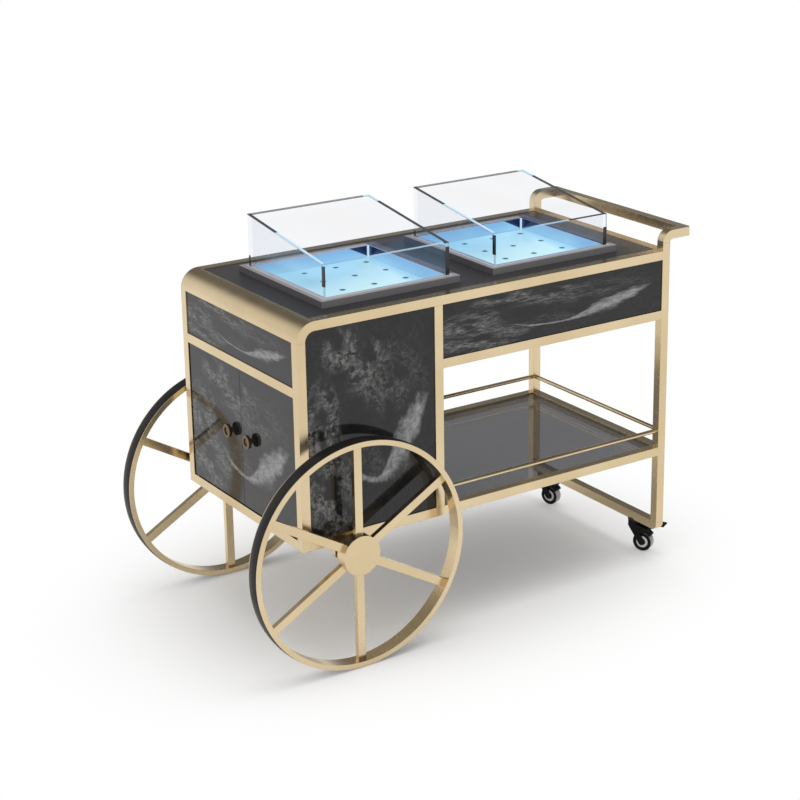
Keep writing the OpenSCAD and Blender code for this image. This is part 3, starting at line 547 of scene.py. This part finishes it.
def guard_glass(name, low, high, front_top, second):
    """Clear sheet glass. Its polished edges carry painted reflections, dark, grey or pale, each over its own
    share.
    """
    pane, line, thin = 9 * MM, 2.2 * MM, 0.8 * MM
    strip, wide, broad = 4.2 * MM, 10 * MM, 12 * MM
    back_top = high.z - low.z

    # Shares of a pane's length or height, at which the painted reflection on its edge changes
    left_dark_from, right_dark_to, back_grey_to = 0.62, 0.86, 0.94
    front_dark_from = 0.66 if second else 0.96
    back_left_dark_to = 0.12 if second else 0.20
    left_pale_to, left_dark_to = 0.34, 0.96
    right_pale_from = 0.58 if second else 0.88
    front_faint_to, front_plain_from = 0.28, 0.42
    foot, tip = -0.1, 1.1

    # How much of an edge's painted reflection shows where it is faint, plain and pale, and how the panes
    # reflect
    faint_share, plain_share, pale_share = 0.12, 0.6, 0.7
    mirror, falloff = 0.015, 5.0

    made, tree = material(name)
    place = here(tree)
    x, y, z = parts_of(tree, place)
    u = math_node(tree, "DIVIDE", math_node(tree, "SUBTRACT", x, low.x), high.x - low.x)
    v = math_node(tree, "DIVIDE", math_node(tree, "SUBTRACT", y, low.y), high.y - low.y)
    rise = math_node(tree, "SUBTRACT", z, low.z)
    top = math_node(tree, "MULTIPLY_ADD", v, back_top - front_top, front_top)
    depth = math_node(tree, "SUBTRACT", top, rise)

    at_left, at_right = near(tree, x, low.x, pane), near(tree, x, high.x, pane)
    at_front, at_back = near(tree, y, low.y, pane), near(tree, y, high.y, pane)
    on_top = below(tree, depth, math_node(tree, "MULTIPLY_ADD", at_front, thin - line, line))
    dark_left = all_of(tree, at_left, above(tree, v, left_dark_from))
    dark_right = all_of(tree, at_right, below(tree, v, right_dark_to))
    dark_front = all_of(tree, at_front, above(tree, u, front_dark_from))
    grey_back = all_of(tree, at_back, below(tree, u, back_grey_to))
    dark_top = any_of(tree, dark_left, dark_right, dark_front)

    def corner(left, front, reach, low_share, high_share):
        """Strip down an outer corner, a reach wide each way, between two shares of its height."""
        column = all_of(tree, near(tree, x, low.x if left else high.x, reach[0]),
                        near(tree, y, low.y if front else high.y, reach[1]))
        share = math_node(tree, "DIVIDE", rise, front_top if front else back_top)
        return all_of(tree, column, above(tree, share, low_share), below(tree, share, high_share))

    dark_reflection_down = any_of(tree, corner(True, False, (strip, wide), foot, back_left_dark_to),
                       corner(True, True, (strip, wide), left_pale_to, left_dark_to),
                       corner(False, True, (broad, strip), foot, right_pale_from))
    pale_reflection_down = any_of(tree, corner(True, True, (strip, strip), foot, left_pale_to),
                       corner(False, True, (strip if second else broad, strip), right_pale_from, tip))
    # Painted reflections on the polished edges: pale, grey, a dark line and dark strips
    edge_reflection = mix(tree, all_of(tree, on_top, grey_back), EDGE_PALE_REFLECTION, EDGE_GREY_REFLECTION)
    edge_reflection = mix(tree, all_of(tree, on_top, dark_top), edge_reflection, EDGE_LINE_REFLECTION)
    edge_reflection = mix(tree, dark_reflection_down, edge_reflection, EDGE_DARK_REFLECTION)
    pale_front = all_of(tree, at_front, math_node(tree, "SUBTRACT", 1.0, dark_front))
    front_share = smooth(tree, u, front_faint_to, front_plain_from, to_low=faint_share, to_high=plain_share)
    top_share = mix_value(tree, pale_front, 1.0, front_share)
    edge = any_of(tree, all_of(tree, on_top, top_share), dark_reflection_down,
                  math_node(tree, "MULTIPLY", pale_reflection_down, pale_share))

    facing = add(tree, "ShaderNodeLayerWeight", Blend=0.5).outputs["Facing"]
    grazing = math_node(tree, "POWER", facing, falloff)
    smear = smooth(tree, noise(tree, place, scale=9.0), 0.5, 0.8, to_low=0.01, to_high=0.04)
    clear = add(tree, "ShaderNodeBsdfTransparent", Color=GLASS_TINT)
    # The gloss is tinted blue, a painted reflection of the lit wells
    gloss = add(tree, "ShaderNodeBsdfAnisotropic", Color=GLASS_REFLECTION_BLUE, Roughness=smear)
    solid = add(tree, "ShaderNodeBsdfPrincipled", Base_Color=edge_reflection, Roughness=0.2)
    sheet = blend(tree, math_node(tree, "MULTIPLY_ADD", grazing, 1 - mirror, mirror), clear, gloss)
    surface(tree, blend(tree, edge, sheet, solid))
    return made


def dark_glass(name):
    """Smoked glass that reflects like a dark mirror and lets a little light through."""
    clear_share = 0.36
    made, tree = material(name)
    place = here(tree)
    broad = smooth(tree, noise(tree, place, scale=3.0, detail=2.0), 0.3, 0.7)
    colour = mix(tree, broad, SHELF_DARK, scaled(SHELF_DARK, 1.3))
    roughness = smooth(tree, noise(tree, place, scale=7.0), 0.4, 0.8, to_low=0.03, to_high=0.07)
    shader = add(tree, "ShaderNodeBsdfPrincipled", Base_Color=colour, Roughness=roughness, IOR=1.52,
                 Coat_Weight=0.4, Coat_Roughness=0.02)
    clear = add(tree, "ShaderNodeBsdfTransparent", Color=SHELF_TINT)
    surface(tree, blend(tree, clear_share, shader, clear))
    return made


gold = satin_metal("satin_gold", GOLD, GOLD_DEEP, rough=0.24, edge=0.0012)
antique = satin_metal("antique_gold", ANTIQUE, ANTIQUE_DEEP, rough=0.3, edge=0.0008)
dark_steel = satin_metal("dark_steel", DARK_STEEL, DARK_STEEL_DEEP, rough=0.35, edge=0.0006)
steel = satin_metal("satin_steel", STEEL, STEEL_DEEP, rough=0.3, edge=0.0006)
tyre_rubber = moulded("tyre_rubber", TYRE_BLACK, rough=0.45, grain=260.0, strength=0.2, gloss=0.2)
black_plastic = moulded("black_plastic", PLASTIC_BLACK, rough=0.42, grain=600.0, strength=0.12, edge=0.0008,
                        gloss=0.12)
tread_rubber = moulded("tread_rubber", TREAD_GREY, rough=0.5, grain=400.0, strength=0.2)
ring_plastic = moulded("ring_plastic", RING_GREY, rough=0.35, grain=500.0, strength=0.08)


def dress(node, finish):
    """Gives all material slots of a CAD node one finish."""
    for slot in nodes[node].material_slots:
        slot.material = finish


def face_marble(name, members, side):
    """One slab over the faces of the members, as seen from the side that a vector points to."""
    lows, highs = zip(*(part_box(m) for m in members))
    low = Vector([min(values) for values in zip(*lows)])
    high = Vector([max(values) for values in zip(*highs)])
    across = Vector((0, 0, 1)).cross(Vector(side))
    corner = Vector((low.x if across.x >= 0 else high.x, low.y if across.y >= 0 else high.y, low.z))
    width = abs((high - low).dot(across))
    finish = marble("marble_" + name, corner, across, width, high.z - low.z)
    for m in members:
        dress(m, finish)


for name in nodes:
    dress(name, gold)
for name in ("axle", "axle_fasteners", "door_pivots"):
    dress(name, steel)
dress("caster_stems", dark_steel)
for side in ("front", "back"):
    dress(side + "_wheel_tyre", tyre_rubber)
    dress(side + "_knob", antique)
    dress(side + "_caster_fork", black_plastic)
    dress(side + "_brake_pedal", black_plastic)
    dress(side + "_caster_wheel", black_plastic)
face_marble("front_panel", ["front_cabinet_panel"], (0, -1, 0))
face_marble("front_apron", ["front_apron"], (0, -1, 0))
face_marble("back_panel", ["back_cabinet_panel"], (0, 1, 0))
face_marble("back_apron", ["back_apron"], (0, 1, 0))
face_marble("upper_end", ["upper_end_panel"], (-1, 0, 0))
face_marble("doors", ["front_door", "back_door"], (-1, 0, 0))
face_marble("right_apron", ["right_apron"], (1, 0, 0))
face_marble("divider", ["cabinet_divider"], (1, 0, 0))
dress("cabinet_floor", solid_surface("cabinet_board", TOP_DARK, rough=0.4,
                                     underside=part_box("cabinet_floor")[0].z))
dress("top_panel", solid_surface("dark_top", TOP_DARK, rough=0.3))
dress("bay_shelf", dark_glass("smoked_glass"))
dress("light_bars", light_tube("light_bar"))

for side in ("left", "right"):
    floor_low, floor_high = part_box(side + "_well_floor")
    pan_low, pan_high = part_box(side + "_well_pan")
    guard_low, guard_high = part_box(side + "_glass_guard")
    dress(side + "_well_floor", lit_floor(side + "_lit_floor", floor_low, floor_high))
    dress(side + "_well_pan", well_pan(side + "_pan", floor_low, floor_high, pan_low, pan_high.z))
    dress(side + "_glass_guard", guard_glass(side + "_glass", guard_low, guard_high, front_top=86 * MM,
                                             second=(side == "right")))


# Pieces of the scene

def new_object(name, data):
    """Adds an object to the scene."""
    made = bpy.data.objects.new(name, data)
    bpy.context.scene.collection.objects.link(made)
    return made


def mesh_object(name, mesh, finishes):
    """Adds an object made of a bmesh, with its materials."""
    data = bpy.data.meshes.new(name)
    mesh.to_mesh(data)
    mesh.free()
    for finish in finishes:
        data.materials.append(finish)
    return new_object(name, data)


def piece(name, mesh, finishes, body):
    """Makes an object of a bmesh, which rides on a body."""
    bmesh.ops.recalc_face_normals(mesh, faces=mesh.faces)
    made = mesh_object(name, mesh, finishes)
    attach(made, body)
    return made


def turn_to(direction):
    """Rotation that takes the upright axis to a direction."""
    return Vector((0, 0, 1)).rotation_difference(Vector(direction)).to_matrix().to_4x4()


def frame_joint(name):
    """The record of a joint in the frame."""
    return next(j for j in frame["joints"] if j["name"] == name)


def add_box(mesh, low, high, ease):
    """Adds a box with eased edges to a bmesh."""
    low, high = Vector(low), Vector(high)
    size = Matrix.Diagonal((high - low).to_4d())
    size[3][3] = 1
    made = bmesh.ops.create_cube(mesh, size=1.0, matrix=Matrix.Translation((low + high) / 2) @ size)
    edges = list({e for v in made["verts"] for e in v.link_edges})
    bmesh.ops.bevel(mesh, geom=edges, offset=ease, segments=2, affect="EDGES", profile=0.5)


def top_trim():
    """Thin gold strip round the top panel."""
    width, rise, ease = 5 * MM, 0.9 * MM, 0.3 * MM
    low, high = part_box("top_panel")
    top = high.z
    mesh = bmesh.new()
    add_box(mesh, (low.x, low.y, top), (low.x + width, high.y, top + rise), ease)
    add_box(mesh, (high.x - width, low.y, top), (high.x, high.y, top + rise), ease)
    for y in (low.y, high.y - width):
        add_box(mesh, (low.x + width, y, top), (high.x - width, y + width, top + rise), ease)
    piece("top_trim", mesh, [gold], "frame")


def add_bolt(mesh, centre, along, across_flats, height):
    """Adds a hexagonal bolt head with a chamfered top to a bmesh."""
    radius = across_flats / math.sqrt(3)
    middle = Matrix.Translation(Vector(centre) + Vector(along) * height / 2)
    made = bmesh.ops.create_cone(mesh, cap_ends=True, segments=6, radius1=radius, radius2=radius,
                                 depth=height, matrix=middle @ turn_to(along))
    edges = list({e for v in made["verts"] for e in v.link_edges})
    bmesh.ops.bevel(mesh, geom=edges, offset=height * 0.15, segments=2, affect="EDGES", profile=0.5)


def bracket_bolts():
    """Two bolt heads on each axle bracket."""
    spread, size, height = 27 * MM, 10 * MM, 3 * MM
    low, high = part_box("axle_brackets")
    middle_x = (low.x + high.x) / 2
    middle_z = frame_joint("front_wheel_turn")["pos_m"][2]
    mesh = bmesh.new()
    for y, along in ((low.y, -1), (high.y, 1)):
        for x in (middle_x - spread, middle_x + spread):
            add_bolt(mesh, (x, y, middle_z), (0, along, 0), size, height)
    piece("bracket_bolts", mesh, [steel], "frame")


def lathe(mesh, rings, turn, steps=64):
    """Turns a closed section about an axis. A section point is (radius, place along the axis, material)."""
    angles = [2 * math.pi * i / steps for i in range(steps)]
    loops = []
    for radius, along, _ in rings:
        points = [Vector((radius * math.cos(a), radius * math.sin(a), along)) for a in angles]
        loops.append([mesh.verts.new(turn @ point) for point in points])
    for k, (ring, following) in enumerate(zip(loops, loops[1:] + loops[:1])):
        for i in range(steps):
            j = (i + 1) % steps
            face = mesh.faces.new((ring[i], ring[j], following[j], following[i]))
            face.material_index = rings[k][2]
            face.smooth = True


def caster_roller(side):
    """Roller with a grey tread, black shoulders, a pale ring and a hub."""
    tread, black, pale = range(3)
    half, bore, boss, shoulder = 13 * MM, 4.05 * MM, 7 * MM, 3 * MM
    ring_in, ring_out, step = 9.5 * MM, 17.5 * MM, 1 * MM
    joint = frame_joint(side + "_caster_roll")
    turn = Matrix.Translation(Vector(joint["pos_m"])) @ turn_to(joint["axis"])
    low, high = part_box(side + "_caster_wheel")
    radius = (high.z - low.z) / 2
    side_rings = [(bore, half + step, black), (boss, half + step, black), (boss + step, half - step, black),
                  (ring_in, half - step, black), (ring_in + step / 2, half - step / 2, pale),
                  (ring_out - step / 2, half - step / 2, pale), (ring_out, half - step, black),
                  (ring_out + step, half, black), (radius - shoulder, half, black),
                  (radius - shoulder / 3, half - shoulder / 3, tread), (radius, half - shoulder, tread)]
    mirrored = [(r, -a, m) for r, a, m in reversed(side_rings)]
    materials = [m for _, _, m in mirrored[1:]] + [black]
    rings = side_rings + [(r, a, m) for (r, a, _), m in zip(mirrored, materials)]
    mesh = bmesh.new()
    lathe(mesh, rings, turn)
    made = piece(side + "_roller", mesh, [tread_rubber, black_plastic, ring_plastic], side + "_caster_roller")
    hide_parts(side + "_caster_wheel")


top_trim()
bracket_bolts()
for side in ("front", "back"):
    caster_roller(side)


# Floor, light and camera

def pale_floor():
    """Large pale floor. In view it is lifted to white away from the trolley, and it keeps the shadow."""
    floor_radius, stretch, shadow_lift = 60.0, 0.8, 0.02
    white_from, white_to = 0.34, 0.98
    made, tree = material("pale_floor")
    place = here(tree)
    x, y, _ = parts_of(tree, place)
    grain = smooth(tree, noise(tree, place, scale=60.0, detail=3.0), 0.3, 0.7)
    colour = mix(tree, grain, FLOOR_PALE, scaled(FLOOR_PALE, 0.99))
    rays = add(tree, "ShaderNodeLightPath").outputs
    seen = any_of(tree, rays["Is Camera Ray"], rays["Is Glossy Ray"], rays["Is Transmission Ray"])
    plain = add(tree, "ShaderNodeBsdfDiffuse", Color=mix(tree, seen, colour, WHITE))
    white = add(tree, "ShaderNodeEmission", Color=WHITE, Strength=1.0)
    away = math_node(tree, "SQRT", squares(tree, math_node(tree, "MULTIPLY", x, stretch), y))
    far = smooth(tree, away, white_from, white_to, to_low=shadow_lift)
    surface(tree, blend(tree, math_node(tree, "MULTIPLY", far, seen), plain, white))
    mesh = bmesh.new()
    bmesh.ops.create_circle(mesh, cap_ends=True, segments=96, radius=floor_radius)
    floor = mesh_object("floor", mesh, [made])


def studio_world():
    """Even soft light. Metal sees a ceiling that is dark on the right, and glass sees white."""
    dark_right, dark_up = (-0.52, -0.02), (0.0, 0.25)
    world = bpy.data.worlds.new("studio")
    bpy.context.scene.world = world
    world.use_nodes = True
    tree = world.node_tree
    tree.nodes.clear()
    direction = add(tree, "ShaderNodeTexCoord").outputs["Generated"]
    right, _, up = parts_of(tree, direction)
    dark = all_of(tree, smooth(tree, right, *dark_right), smooth(tree, up, *dark_up))
    rays = add(tree, "ShaderNodeLightPath").outputs
    lit = mix(tree, rays["Is Glossy Ray"], ROOM_GREY, mix(tree, dark, CEILING_PALE, CEILING_DARK))
    seen = mix(tree, any_of(tree, rays["Is Camera Ray"], rays["Is Transmission Ray"]), lit, WHITE)
    shader = add(tree, "ShaderNodeBackground", Color=seen, Strength=1.0)
    add(tree, "ShaderNodeOutputWorld", Surface=shader.outputs["Background"])


def soft_light(name, place, target, size, power):
    """Square lamp that lights a target and doesn't show in reflections."""
    data = bpy.data.lights.new(name, "AREA")
    data.shape = "SQUARE"
    data.size = size
    data.energy = power
    lamp = new_object(name, data)
    lamp.location = place
    lamp.rotation_euler = (Vector(target) - Vector(place)).to_track_quat("-Z", "Y").to_euler()
    lamp.visible_glossy = False


def photo_camera():
    """Camera that takes the photograph's view."""
    data = bpy.data.cameras.new("camera")
    data.lens = CAMERA_LENS
    data.shift_x, data.shift_y = CAMERA_SHIFT
    camera = new_object("camera", data)
    turn = (Matrix.Rotation(math.radians(-CAMERA_YAW), 4, "Z")
            @ Matrix.Rotation(math.radians(90 - CAMERA_PITCH), 4, "X")
            @ Matrix.Rotation(math.radians(CAMERA_ROLL), 4, "Z"))
    camera.matrix_world = Matrix.Translation(CAMERA_PLACE) @ turn
    bpy.context.scene.camera = camera


pale_floor()
studio_world()
soft_light("overhead", place=(0.3, -0.4, 3.6), target=(0, 0, 0.3), size=2.6, power=60)
photo_camera()
bpy.context.scene.view_settings.view_transform = "Standard"
